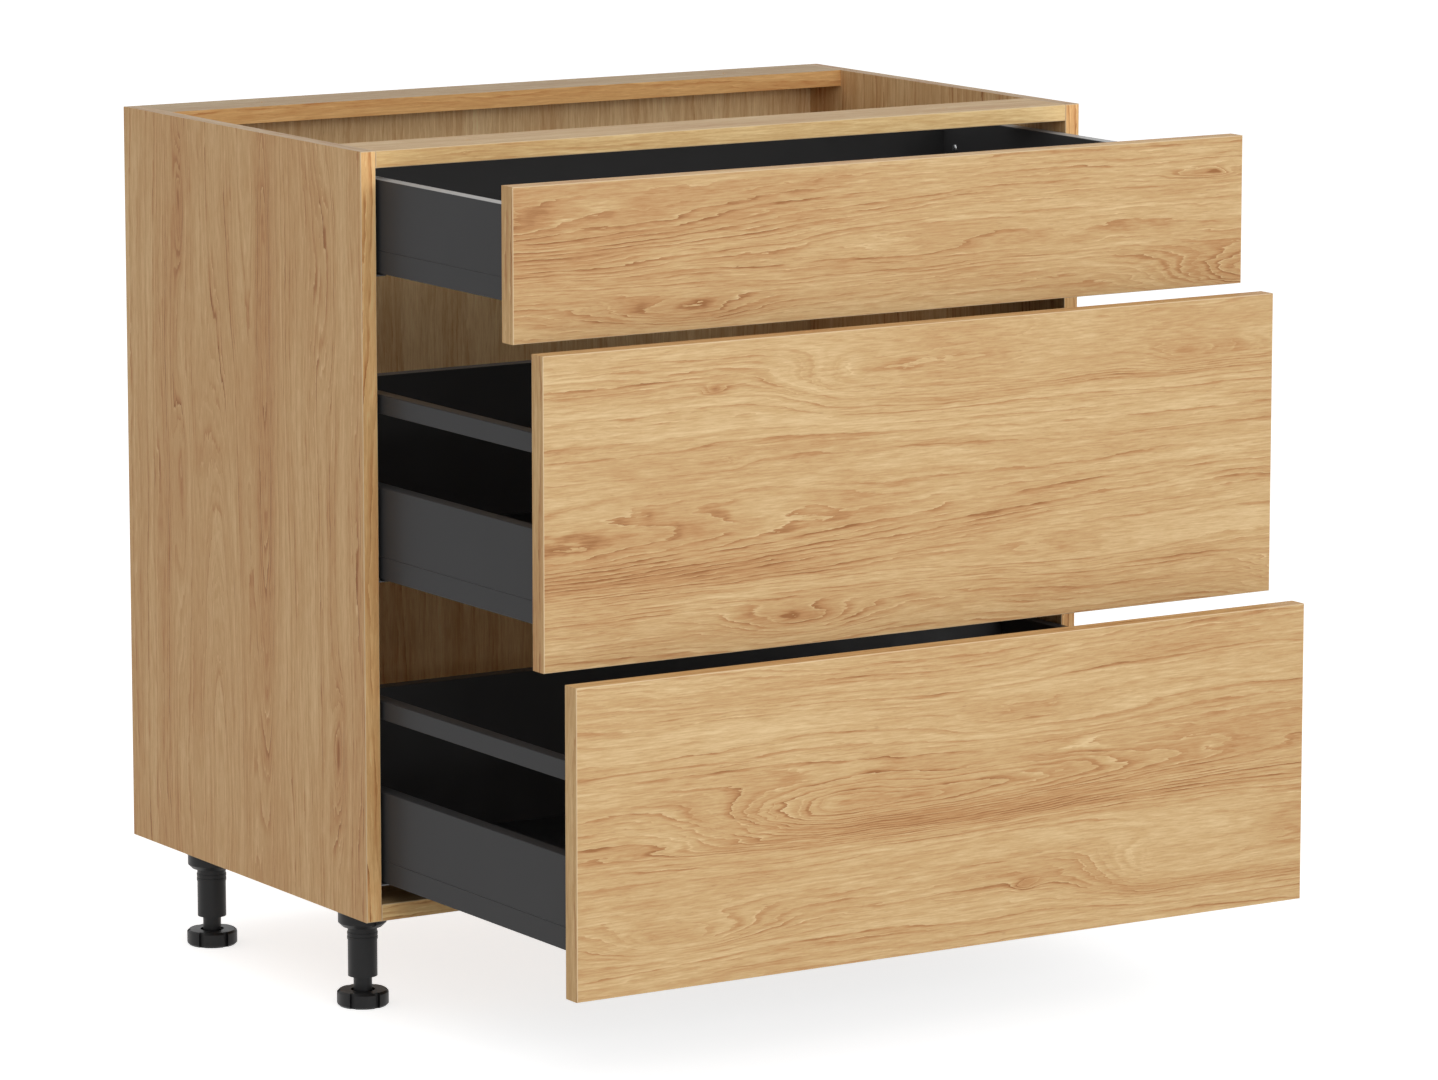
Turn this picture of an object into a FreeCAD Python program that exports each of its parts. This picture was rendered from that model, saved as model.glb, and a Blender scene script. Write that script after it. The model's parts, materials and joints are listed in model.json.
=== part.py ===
import FreeCAD, Part
import os

import Sketcher

# A kitchen base cabinet on adjustable legs, with drawers on concealed full-extension runners.
# Carcass pieces are drawn in the cabinet frame: x from the left side towards the right, y from the
# carcass's front edges towards the back, z up from the floor. Drawer pieces are drawn closed, with
# z up from the lower edge of their metal sides. Leg pieces are drawn about their own axis.
# Each piece's placement then carries it to its place, with the drawers as far open as they rest.

# Driving sizes, in millimetres
sizes = {
    # carcass
    "cabinet_width": 800,
    "cabinet_depth": 470,
    "carcass_height": 720,
    "board": 16,
    "edge_round": 1,
    "top_rail_depth": 70,
    "back_panel_thickness": 3,
    "back_groove_depth": 8,
    "back_groove_setback": 10,
    "groove_clearance": 0.2,
    # dowels and screws
    "dowel_diameter": 8,
    "dowel_length": 30,
    "dowel_in_side": 10,
    "dowel_end_room": 0.5,
    "dowel_edge_inset": 35,
    "dowel_pair_spacing": 28,
    "hole_clearance": 0.05,
    "screw_diameter": 4,
    "screw_head_diameter": 7.5,
    "screw_head_height": 1.6,
    "screw_slot_width": 1.1,
    "screw_slot_depth": 0.9,
    "screw_in_board": 12,
    "pilot_room": 0.5,
    # worktop fixings
    "worktop_hole_diameter": 5,
    "worktop_hole_inset": 134,
    # drawer fronts
    "front_thickness": 20,
    "front_side_reveal": 2,
    "front_top_reveal": 6,
    "front_joint": 4,
    "upper_front_height": 140,
    "front_gap": 2,
    # how far each drawer stands open at rest, and where its metal sides sit behind the front
    "upper_opening": 248,
    "middle_opening": 299,
    "lower_opening": 354,
    "upper_side_rise": 33,
    "middle_side_rise": 35.5,
    "lower_side_rise": 36,
    # metal drawer sides
    "drawer_length": 450,
    "side_height": 86,
    "side_thickness": 14,
    "side_wall": 1.2,
    "side_gap": 4,
    "side_round": 1,
    "crease_rise": 21,
    "crease_depth": 0.4,
    "crease_half_height": 0.6,
    "ledge_width": 16,
    "inner_screw_inset": 35,
    "inner_screw_rise": 56,
    "inner_screw_length": 6,
    # drawer floor and back
    "drawer_board": 16,
    "drawer_floor_height": 24,
    "drawer_floor_clearance": 0.5,
    "upper_back_height": 84,
    "tall_back_height": 168,
    # gallery rails over the sides of the deep drawers
    "gallery_rise": 68,
    "gallery_height": 18,
    "gallery_wall": 1.2,
    "connector_length": 10,
    "connector_drop": 2,
    "holder_depth": 18,
    # front fixings inside the metal sides
    "fixing_length": 30,
    "fixing_room": 5,
    "fixing_clearance": 0.2,
    # runners
    "runner_sheet": 1.2,
    "runner_clearance": 0.5,
    "runner_rise": 22,
    "runner_drop": 3,
    "runner_flange_rise": 26,
    "runner_setback": 3,
    "slide_length": 400,
    # legs
    "leg_height": 100,
    "leg_side_inset": 43,
    "leg_front_inset": 86.5,
    "leg_back_inset": 80.5,
    "foot_radius": 24.5,
    "foot_height": 15,
    "foot_chamfer": 2,
    "foot_turn": 6,
    "notch_width": 5,
    "notch_depth": 3,
    "foot_well_radius": 11.5,
    "foot_well_depth": 3,
    "stem_radius": 8.8,
    "stem_length": 46,
    "stem_clearance": 0.3,
    "tube_radius": 14,
    "tube_start": 28.5,
    "tube_top_gap": 8,
    "ring_proud": 0.5,
    "ring_height": 2.6,
    "ring_drop": 36,
    "ring_pitch": 4.2,
    "socket_radius": 23,
    "socket_height": 23.5,
    "socket_round": 4,
    "socket_collar_width": 6,
    "socket_collar_height": 4,
    "socket_slot_width": 4,
    "socket_slot_depth": 1.5,
    "flange_thickness": 6,
    "flange_length": 70,
    "flange_width": 60,
    "flange_corner": 8,
    "flange_screw_inset": 6,
}
slide_share = 0.5  # a slide member moves this share of its drawer's way
runner_screw_shares = (0.08, 0.5, 0.92)  # along a cabinet rail
ledge_screw_shares = (0.1, 0.37, 0.63, 0.9)  # along a metal side's ledge
fixing_screw_shares = (0.25, 0.75)  # up a front fixing
notch_count = 6


class Size:
    # a length together with the formula of sheet cells that gives it
    def __init__(self, value, formula):
        self.value = value
        self.formula = formula

    def __add__(self, other):
        other = as_size(other)
        return Size(self.value + other.value, f"({self.formula} + {other.formula})")

    def __sub__(self, other):
        other = as_size(other)
        return Size(self.value - other.value, f"({self.formula} - {other.formula})")

    def __mul__(self, other):
        other = as_size(other)
        return Size(self.value * other.value, f"({self.formula} * {other.formula})")

    def __truediv__(self, other):
        other = as_size(other)
        return Size(self.value / other.value, f"({self.formula} / {other.formula})")

    def __radd__(self, other):
        return as_size(other) + self

    def __rsub__(self, other):
        return as_size(other) - self

    def __rmul__(self, other):
        return as_size(other) * self


def as_size(thing):
    return thing if isinstance(thing, Size) else Size(float(thing), str(thing))


def largest(*several):
    return Size(max(s.value for s in several), f"max({'; '.join(s.formula for s in several)})")


# The sheet of driving sizes
doc = FreeCAD.newDocument("drawer_cabinet")
sheet = doc.addObject("Spreadsheet::Sheet", "Sizes")
for row, (name, value) in enumerate(sizes.items(), start=1):
    sheet.set(f"A{row}", name)
    sheet.set(f"B{row}", str(value))
    sheet.setAlias(f"B{row}", name)
doc.recompute()


def cell(name):
    return Size(float(getattr(sheet, name)), f"Sizes.{name}")


# Helpers: sketches, pads, pockets and rounded edges in a body
normal_sign = {"XY": 1, "YZ": 1, "XZ": -1}  # which way a plane's normal runs along its axis
cuts = []


def bind(thing, path, size):
    thing.setExpression(path, as_size(size).formula)


def place(thing, base):
    for axis, size in zip("xyz", base):
        bind(thing, f".Placement.Base.{axis}", size)


def new_body(label, base):
    body = doc.addObject("PartDesign::Body", label)
    body.Label = label
    body.AllowCompound = True
    place(body, base)
    return body


def fix_point(sketch, geometry, point, across, up):
    for kind, size in (("DistanceX", as_size(across)), ("DistanceY", as_size(up))):
        rule = Sketcher.Constraint(kind, -1, 1, geometry, point, size.value)
        sketch.setExpression(f"Constraints[{sketch.addConstraint(rule)}]", size.formula)


def draw(body, plane, level, outlines, circles):
    sketch = body.newObject("Sketcher::SketchObject", "Sketch")
    base_plane = next(f for f in body.Origin.OriginFeatures if f.Role == f"{plane}_Plane")
    sketch.AttachmentSupport = [(base_plane, "")]
    sketch.MapMode = "FlatFace"
    bind(sketch, ".AttachmentOffset.Base.z", normal_sign[plane] * as_size(level))
    for outline in outlines:
        corners = [FreeCAD.Vector(as_size(a).value, as_size(b).value, 0) for a, b in outline]
        sides = [
            sketch.addGeometry(Part.LineSegment(start, end))
            for start, end in zip(corners, corners[1:] + corners[:1])
        ]
        for side, following in zip(sides, sides[1:] + sides[:1]):
            sketch.addConstraint(Sketcher.Constraint("Coincident", side, 2, following, 1))
        for side, (across, up) in zip(sides, outline):
            fix_point(sketch, side, 1, across, up)
    for across, up, radius in circles:
        centre = FreeCAD.Vector(as_size(across).value, as_size(up).value, 0)
        circle = sketch.addGeometry(Part.Circle(centre, FreeCAD.Vector(0, 0, 1), radius.value))
        fix_point(sketch, circle, 3, across, up)
        rule = sketch.addConstraint(Sketcher.Constraint("Radius", circle, radius.value))
        sketch.setExpression(f"Constraints[{rule}]", radius.formula)
    return sketch


def add(body, plane, low, high, outlines=(), circles=()):
    pad = body.newObject("PartDesign::Pad", "Pad")
    pad.Profile = draw(body, plane, low, outlines, circles)
    bind(pad, "Length", high - low)
    pad.Reversed = normal_sign[plane] < 0
    body.Tip = pad
    return pad


def remove(body, plane, low, high, outlines=(), circles=()):
    before = body.Tip
    sketch = draw(body, plane, low, outlines, circles)
    pocket = body.newObject("PartDesign::Pocket", "Pocket")
    pocket.Profile = sketch
    bind(pocket, "Length", high - low)
    pocket.Reversed = normal_sign[plane] > 0
    body.Tip = pocket
    cuts.append((before, pocket))
    return pocket


def rectangle(across, up):
    (left, right), (low, high) = across, up
    return [(left, low), (right, low), (right, high), (left, high)]


def add_slab(body, across, deep, up):
    return add(body, "XY", up[0], up[1], [rectangle(across, deep)])


def remove_slab(body, across, deep, up):
    return remove(body, "XY", up[0], up[1], [rectangle(across, deep)])


def revolve(body, outline):
    sketch = draw(body, "XZ", 0, [outline], ())
    turned = body.newObject("PartDesign::Revolution", "Revolution")
    turned.Profile = sketch
    turned.ReferenceAxis = (sketch, ["V_Axis"])
    turned.Angle = 360
    body.Tip = turned
    return turned


def round_edges(body, radius, chosen):
    doc.recompute()
    base = body.Tip
    names = [f"Edge{i}" for i, e in enumerate(base.Shape.Edges, start=1) if chosen(e.BoundBox)]
    fillet = body.newObject("PartDesign::Fillet", "Fillet")
    fillet.Base = (base, names)
    bind(fillet, "Radius", radius)
    body.Tip = fillet
    return fillet


def near(first, second):
    return abs(first - as_size(second).value) < Part.Precision.confusion()


def in_depth_plane(*levels):
    # edges that lie in one of the upright planes across the cabinet at these depths
    return lambda box: any(near(box.YMin, level) and near(box.YMax, level) for level in levels)


def along_depth(*corners):
    # edges that run from front to back through one of these points, given as across and up
    def chosen(box):
        return any(
            near(box.XMin, across) and near(box.XMax, across)
            and near(box.ZMin, up) and near(box.ZMax, up)
            for across, up in corners
        )
    return chosen


def span(side, near_wall, far_wall):
    # a stretch given from the left side's outer face, or its mirror image on the right
    if side == "left":
        return near_wall, far_wall
    return cabinet_width - far_wall, cabinet_width - near_wall


def mirrored(side, outline):
    return [(span(side, across, across)[0], up) for across, up in outline]


def cylinder(radius, length, start, direction):
    corner = FreeCAD.Vector(*(as_size(s).value for s in start))
    return Part.makeCylinder(radius.value, length.value, corner, FreeCAD.Vector(*direction))


def screw(start, direction, length):
    # the head lies outside the point where it bears, and its cross slot opens away from the shank
    direction = FreeCAD.Vector(*direction)
    head_height = cell("screw_head_height")
    shank = cylinder(cell("screw_diameter") / 2, length, start, direction)
    head = cylinder(cell("screw_head_diameter") / 2, head_height, start, direction * -1)
    bearing = FreeCAD.Vector(*(as_size(s).value for s in start))
    slot_width = cell("screw_slot_width").value
    slot_length = cell("screw_head_diameter").value - 2 * slot_width
    slot_depth = cell("screw_slot_depth").value
    lift = head_height.value - slot_depth
    turn = FreeCAD.Rotation(FreeCAD.Vector(0, 0, -1), direction)
    body = shank.fuse(head)
    for long, wide in ((slot_length, slot_width), (slot_width, slot_length)):
        slot = Part.makeBox(long, wide, slot_depth, FreeCAD.Vector(-long / 2, -wide / 2, lift))
        slot.Placement = FreeCAD.Placement(bearing, turn).multiply(slot.Placement)
        body = body.cut(slot)
    return body.removeSplitter()


def loose_group(label, solids, base):
    group = doc.addObject("Part::Feature", label)
    group.Label = label
    group.Shape = Part.makeCompound(solids)
    place(group, base)
    return group


# Sizes that several pieces share
cabinet_width = cell("cabinet_width")
cabinet_depth = cell("cabinet_depth")
board = cell("board")
edge_round = cell("edge_round")
leg_height = cell("leg_height")
carcass_top = leg_height + cell("carcass_height")
floor_top = leg_height + board
rail_underside = carcass_top - board
inner_across = (board, cabinet_width - board)
hole_clearance = cell("hole_clearance")
screw_hole_radius = cell("screw_diameter") / 2 + hole_clearance
screw_in_board = cell("screw_in_board")
pilot_depth = screw_in_board + cell("pilot_room")

front_gap = cell("front_gap")
front_thickness = cell("front_thickness")
front_joint = cell("front_joint")
openings = {name: cell(f"{name}_opening") for name in ("upper", "middle", "lower")}
front_reach = largest(*openings.values()) + front_gap + front_thickness
middle_of_depth = (cabinet_depth - front_reach) / 2
carcass_base = (0 - cabinet_width / 2, 0 - middle_of_depth, 0)

# The fronts: the upper one has its own height, and the two others share what is left
upper_front_height = cell("upper_front_height")
lower_front_height = (
    cell("carcass_height") - cell("front_top_reveal") - upper_front_height - 2 * front_joint
) / 2
front_heights = {
    "upper": upper_front_height,
    "middle": lower_front_height,
    "lower": lower_front_height,
}
front_bottoms = {
    "upper": leg_height + 2 * (lower_front_height + front_joint),
    "middle": leg_height + lower_front_height + front_joint,
    "lower": leg_height,
}
side_rises = {name: cell(f"{name}_side_rise") for name in openings}
side_bottoms = {name: front_bottoms[name] + side_rises[name] for name in openings}

# Runner section: x from the carcass's inner wall, z from the lower edge of the drawer side
side_height = cell("side_height")
side_wall = cell("side_wall")
side_outer = board + cell("side_gap")
side_inner = side_outer + cell("side_thickness")
hollow = (side_outer + side_wall, side_inner - side_wall)
sheet_steel = cell("runner_sheet")
runner_clearance = cell("runner_clearance")
runner_rise = cell("runner_rise")
runner_drop = cell("runner_drop")
runner_setback = cell("runner_setback")
runner_axis = (hollow[0] + hollow[1]) / 2
upright = (runner_axis - sheet_steel / 2, runner_axis + sheet_steel / 2)
member_inner = (upright[0] - runner_clearance, upright[1] + runner_clearance)
member_outer = (member_inner[0] - sheet_steel, member_inner[1] + sheet_steel)
member_roof = runner_rise + runner_clearance
drawer_rail_roof = member_roof + sheet_steel + runner_clearance
drawer_rail_top = drawer_rail_roof + sheet_steel
drawer_length = cell("drawer_length")
side_front = 0 - front_gap
side_back = side_front + drawer_length
runner_depths = (runner_setback, runner_setback + drawer_length)
runner_screw_height = (cell("runner_flange_rise") - runner_drop) / 2
runner_screw_depths = [runner_setback + share * drawer_length for share in runner_screw_shares]
runner_screw_reach = screw_in_board - sheet_steel

# Drawer floor and back
floor_height = cell("drawer_floor_height")
ledge_top = floor_height - cell("drawer_board")
ledge_screw_across = side_inner + cell("ledge_width") / 2
ledge_screw_depths = [side_front + share * drawer_length for share in ledge_screw_shares]
back_front = side_back - cell("drawer_board")
holder_front = side_back - cell("holder_depth")
gallery_bottom = side_height + cell("gallery_rise")
gallery_top = gallery_bottom + cell("gallery_height")
connector_back = side_front + cell("connector_length")
inner_screw_depth = side_back - cell("inner_screw_inset")
inner_screw_rise = cell("inner_screw_rise")

# Front fixings in the hollow of the metal sides
fixing_across = (hollow[0] + cell("fixing_clearance"), hollow[1] - cell("fixing_clearance"))
fixing_back = side_front + cell("fixing_length")
fixing_up = (drawer_rail_top + cell("fixing_room"), side_height - side_wall - cell("fixing_room"))
fixing_screw_heights = [
    fixing_up[0] + share * (fixing_up[1] - fixing_up[0]) for share in fixing_screw_shares
]

# Groove for the back panel
groove_clearance = cell("groove_clearance")
groove_back = cabinet_depth - cell("back_groove_setback")
groove_front = groove_back - cell("back_panel_thickness") - 2 * groove_clearance
panel_depths = (groove_front + groove_clearance, groove_back - groove_clearance)
groove_edge = board - cell("back_groove_depth")
groove_low = leg_height + groove_edge
groove_high = carcass_top - groove_edge

# Dowel joints
dowel_radius = cell("dowel_diameter") / 2
dowel_hole_radius = dowel_radius + hole_clearance
dowel_in_side = cell("dowel_in_side")
dowel_end_room = cell("dowel_end_room")
dowel_in_end = cell("dowel_length") - dowel_in_side
dowel_inset = cell("dowel_edge_inset")
half_pair = cell("dowel_pair_spacing") / 2
front_rail_middle = cell("top_rail_depth") / 2
rear_rail_middle = cabinet_depth - cell("top_rail_depth") / 2
bottom_dowels = [
    (depth, leg_height + board / 2)
    for depth in (dowel_inset, cabinet_depth / 2, cabinet_depth - dowel_inset)
]
rail_dowels = {
    middle.formula: [(middle + step, carcass_top - board / 2) for step in (0 - half_pair, half_pair)]
    for middle in (front_rail_middle, rear_rail_middle)
}
all_dowels = bottom_dowels + [spot for spots in rail_dowels.values() for spot in spots]

# Legs
leg_spots = {
    f"{row}_{side}": (span(side, cell("leg_side_inset"), cell("leg_side_inset"))[0], depth)
    for row, depth in (
        ("front", cell("leg_front_inset")),
        ("back", cabinet_depth - cell("leg_back_inset")),
    )
    for side in ("left", "right")
}
flange_half_width = cell("flange_width") / 2
flange_half_length = cell("flange_length") / 2
flange_screw_across = flange_half_width - cell("flange_screw_inset")
flange_screw_along = flange_half_length - cell("flange_screw_inset")
flange_screw_spots = [
    (sign_across * flange_screw_across, sign_along * flange_screw_along)
    for sign_across in (-1, 1)
    for sign_along in (-1, 1)
]
leg_screw_spots = [
    (across + offset_across, depth + offset_along)
    for across, depth in leg_spots.values()
    for offset_across, offset_along in flange_screw_spots
]


def drawer_base(name):
    depth = 0 - middle_of_depth - openings[name]
    return (0 - cabinet_width / 2, depth, side_bottoms[name])


def slide_base(name):
    depth = 0 - middle_of_depth - slide_share * openings[name]
    return (0 - cabinet_width / 2, depth, side_bottoms[name])


def make_side_panel(side):
    body = new_body(f"side_panel_{side}", carcass_base)
    add_slab(body, span(side, as_size(0), board), (0, cabinet_depth), (leg_height, carcass_top))
    round_edges(body, edge_round, in_depth_plane(0))
    inner_groove = span(side, groove_edge, board)
    remove_slab(body, inner_groove, (groove_front, groove_back), (groove_low, groove_high))
    low, high = span(side, board - dowel_in_side - dowel_end_room, board)
    remove(body, "YZ", low, high, circles=[(*spot, dowel_hole_radius) for spot in all_dowels])
    low, high = span(side, board - runner_screw_reach - cell("pilot_room"), board)
    runner_holes = [
        (depth, side_bottoms[name] + runner_screw_height, screw_hole_radius)
        for name in openings
        for depth in runner_screw_depths
    ]
    remove(body, "YZ", low, high, circles=runner_holes)


def drill_dowel_ends(body, spots):
    for side in ("left", "right"):
        low, high = span(side, board, board + dowel_in_end + dowel_end_room)
        remove(body, "YZ", low, high, circles=[(*spot, dowel_hole_radius) for spot in spots])


def make_bottom_panel():
    body = new_body("bottom_panel", carcass_base)
    add_slab(body, inner_across, (0, cabinet_depth), (leg_height, floor_top))
    round_edges(body, edge_round, in_depth_plane(0))
    remove_slab(body, inner_across, (groove_front, groove_back), (groove_low, floor_top))
    drill_dowel_ends(body, bottom_dowels)
    holes = [(*spot, screw_hole_radius) for spot in leg_screw_spots]
    remove(body, "XY", leg_height, leg_height + pilot_depth, circles=holes)


def worktop_holes(depth):
    inset = cell("worktop_hole_inset")
    radius = cell("worktop_hole_diameter") / 2
    return [(span(side, inset, inset)[0], depth, radius) for side in ("left", "right")]


def make_front_top_rail():
    body = new_body("front_top_rail", carcass_base)
    add_slab(body, inner_across, (0, cell("top_rail_depth")), (rail_underside, carcass_top))
    round_edges(body, edge_round, in_depth_plane(0))
    drill_dowel_ends(body, rail_dowels[front_rail_middle.formula])
    remove(body, "XY", rail_underside, carcass_top, circles=worktop_holes(front_rail_middle))


def make_rear_top_rail():
    body = new_body("rear_top_rail", carcass_base)
    depths = (cabinet_depth - cell("top_rail_depth"), cabinet_depth)
    add_slab(body, inner_across, depths, (rail_underside, carcass_top))
    remove_slab(body, inner_across, (groove_front, groove_back), (rail_underside, groove_high))
    drill_dowel_ends(body, rail_dowels[rear_rail_middle.formula])
    remove(body, "XY", rail_underside, carcass_top, circles=worktop_holes(rear_rail_middle))


def make_back_panel():
    body = new_body("back_panel", carcass_base)
    across = (groove_edge + groove_clearance, cabinet_width - groove_edge - groove_clearance)
    up = (groove_low + groove_clearance, groove_high - groove_clearance)
    add_slab(body, across, panel_depths, up)


def make_carcass_dowels():
    length = cell("dowel_length")
    dowels = []
    for depth, height in all_dowels:
        for side in ("left", "right"):
            low, _ = span(side, board - dowel_in_side, board + dowel_in_end)
            dowels.append(cylinder(dowel_radius, length, (low, depth, height), (1, 0, 0)))
    loose_group("carcass_dowels", dowels, carcass_base)


def make_carcass_screws():
    # screws of the runners and the legs
    up, left, right = (0, 0, 1), (-1, 0, 0), (1, 0, 0)
    screws = []
    for name in openings:
        for depth in runner_screw_depths:
            height = side_bottoms[name] + runner_screw_height
            for side, direction in (("left", left), ("right", right)):
                start, _ = span(side, board + sheet_steel, board + sheet_steel)
                screws.append(screw((start, depth, height), direction, screw_in_board))
    flange = cell("flange_thickness")
    for across, depth in leg_screw_spots:
        screws.append(screw((across, depth, leg_height - flange), up, flange + screw_in_board))
    loose_group("carcass_screws", screws, carcass_base)


def leg_base(spot):
    across, depth = leg_spots[spot]
    return (across - cabinet_width / 2, depth - middle_of_depth, 0)


def make_leg_socket(spot):
    # a hub that holds the tube, widening into a flange that is screwed to the cabinet's floor
    body = new_body(f"leg_socket_{spot}", leg_base(spot))
    flange_low = leg_height - cell("flange_thickness")
    collar_low = flange_low - cell("socket_collar_height")
    hub_low = leg_height - cell("socket_height")
    bore = cell("tube_radius") + hole_clearance
    bore_top = leg_height - cell("tube_top_gap") + hole_clearance
    hub_radius = cell("socket_radius")
    hub_round = cell("socket_round")
    hub = [
        (bore, hub_low),
        (hub_radius - hub_round, hub_low),
        (hub_radius, hub_low + hub_round),
        (hub_radius, collar_low),
        (hub_radius + cell("socket_collar_width"), flange_low),
        (0, flange_low),
        (0, bore_top),
        (bore, bore_top),
    ]
    revolve(body, hub)
    corner = cell("flange_corner")
    wide, long = flange_half_width, flange_half_length
    plate = [
        (corner - wide, 0 - long), (wide - corner, 0 - long),
        (wide, corner - long), (wide, long - corner),
        (wide - corner, long), (corner - wide, long),
        (0 - wide, long - corner), (0 - wide, corner - long),
    ]
    add(body, "XY", flange_low, leg_height, [plate])
    half_slot = cell("socket_slot_width") / 2
    slot = (0 - hub_radius, cell("socket_slot_depth") - hub_radius)
    remove_slab(body, (0 - half_slot, half_slot), slot, (hub_low, collar_low))
    holes = [(*spot, screw_hole_radius) for spot in flange_screw_spots]
    remove(body, "XY", flange_low, leg_height, circles=holes)


def make_leg_tube(spot):
    # two raised rings run round the tube under the socket
    body = new_body(f"leg_tube_{spot}", leg_base(spot))
    outer = cell("tube_radius")
    bore = cell("stem_radius") + cell("stem_clearance")
    proud = outer + cell("ring_proud")
    low = cell("tube_start")
    top = leg_height - cell("tube_top_gap")
    ring_low = leg_height - cell("ring_drop")
    rings = []
    for step in (0, cell("ring_pitch")):
        start = ring_low + step
        end = start + cell("ring_height")
        rings += [(outer, start), (proud, start), (proud, end), (outer, end)]
    revolve(body, [(bore, low), (outer, low), *rings, (outer, top), (bore, top)])


def make_leg_foot(spot):
    # a notched disc on a stem that screws up into the tube
    body = new_body(f"leg_foot_{spot}", leg_base(spot))
    bind(body, ".Placement.Rotation.Angle", cell("foot_turn"))
    radius = cell("foot_radius")
    chamfer = cell("foot_chamfer")
    height = cell("foot_height")
    well = cell("foot_well_radius")
    well_floor = height - cell("foot_well_depth")
    stem = cell("stem_radius")
    stem_top = height + cell("stem_length")
    outline = [
        (0, 0), (radius - chamfer, 0), (radius, chamfer), (radius, height - chamfer),
        (radius - chamfer, height), (well, height), (well, well_floor), (stem, well_floor),
        (stem, stem_top), (0, stem_top),
    ]
    revolve(body, outline)
    half = cell("notch_width") / 2
    notch_depths = (0 - radius, cell("notch_depth") - radius)
    notch = remove_slab(body, (0 - half, half), notch_depths, (as_size(0), height))
    pattern = body.newObject("PartDesign::PolarPattern", "PolarPattern")
    pattern.Originals = [notch]
    pattern.Axis = (notch.Profile[0], ["N_Axis"])
    pattern.Angle = 360
    pattern.Occurrences = notch_count
    body.Tip = pattern
    cuts.append((notch, pattern))


def make_runner_rail(name, side):
    # the fixed rail: a flange on the wall, a foot under the drawer side and an upright inside it
    base = (carcass_base[0], carcass_base[1], side_bottoms[name])
    body = new_body(f"runner_rail_{name}_{side}", base)
    low = 0 - runner_drop
    flange_top = cell("runner_flange_rise")
    section = [
        (board, low), (upright[1], low), (upright[1], runner_rise), (upright[0], runner_rise),
        (upright[0], low + sheet_steel), (board + sheet_steel, low + sheet_steel),
        (board + sheet_steel, flange_top), (board, flange_top),
    ]
    add(body, "XZ", *runner_depths, [mirrored(side, section)])
    holes = [(depth, runner_screw_height, screw_hole_radius) for depth in runner_screw_depths]
    low, high = span(side, board, board + sheet_steel)
    remove(body, "YZ", low, high, circles=holes)


def hood(outer, inner, roof):
    # an upside-down channel of sheet steel
    (left, right), (inner_left, inner_right) = outer, inner
    low, inner_top, top = roof
    return [
        (left, low), (inner_left, low), (inner_left, inner_top), (inner_right, inner_top),
        (inner_right, low), (right, low), (right, top), (left, top),
    ]


def make_slide_members(name):
    # the moving middle members, one over each fixed upright
    body = new_body(f"slide_members_{name}", slide_base(name))
    section = hood(member_outer, member_inner, (0, member_roof, member_roof + sheet_steel))
    start = runner_setback + (drawer_length - cell("slide_length")) / 2
    end = start + cell("slide_length")
    add(body, "XZ", start, end, [mirrored(side, section) for side in ("left", "right")])


def make_drawer_rails(name):
    # the members that line the hollow of the drawer sides and ride on the slide members
    body = new_body(f"drawer_rails_{name}", drawer_base(name))
    inner = (hollow[0] + sheet_steel, hollow[1] - sheet_steel)
    section = hood(hollow, inner, (ledge_top, drawer_rail_roof, drawer_rail_top))
    start = side_front + runner_setback
    add(body, "XZ", start, side_back, [mirrored(side, section) for side in ("left", "right")])


def make_front_panel(name):
    body = new_body(f"front_panel_{name}", drawer_base(name))
    reveal = cell("front_side_reveal")
    low = 0 - side_rises[name]
    depths = (side_front - front_thickness, side_front)
    across = (reveal, cabinet_width - reveal)
    add_slab(body, across, depths, (low, low + front_heights[name]))
    round_edges(body, edge_round, in_depth_plane(*depths))
    pilots = [
        (span(side, runner_axis, runner_axis)[0], height, screw_hole_radius)
        for side in ("left", "right")
        for height in fixing_screw_heights
    ]
    remove(body, "XZ", side_front - pilot_depth, side_front, circles=pilots)


def make_drawer_side(name, side):
    # a hollow steel side, open below for the runner, with a ledge for the drawer floor
    body = new_body(f"drawer_side_{name}_{side}", drawer_base(name))
    crease_rise = cell("crease_rise")
    crease_half_height = cell("crease_half_height")
    ledge_end = side_inner + cell("ledge_width")
    ledge_low = ledge_top - side_wall
    section = [
        (side_outer, 0),
        (side_outer, crease_rise - crease_half_height),
        (side_outer + cell("crease_depth"), crease_rise),
        (side_outer, crease_rise + crease_half_height),
        (side_outer, side_height),
        (side_inner, side_height),
        (side_inner, ledge_top),
        (ledge_end, ledge_top),
        (ledge_end, ledge_low),
        (hollow[1], ledge_low),
        (hollow[1], side_height - side_wall),
        (hollow[0], side_height - side_wall),
        (hollow[0], 0),
    ]
    add(body, "XZ", side_front, side_back, [mirrored(side, section)])
    top_corners = [(span(side, edge, edge)[0], side_height) for edge in (side_outer, side_inner)]
    round_edges(body, cell("side_round"), along_depth(*top_corners))
    ledge_across = span(side, ledge_screw_across, ledge_screw_across)[0]
    holes = [(ledge_across, depth, screw_hole_radius) for depth in ledge_screw_depths]
    remove(body, "XY", ledge_low, ledge_top, circles=holes)
    low, high = span(side, hollow[1], side_inner)
    inner_hole = (inner_screw_depth, inner_screw_rise, screw_hole_radius)
    remove(body, "YZ", low, high, circles=[inner_hole])


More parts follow.
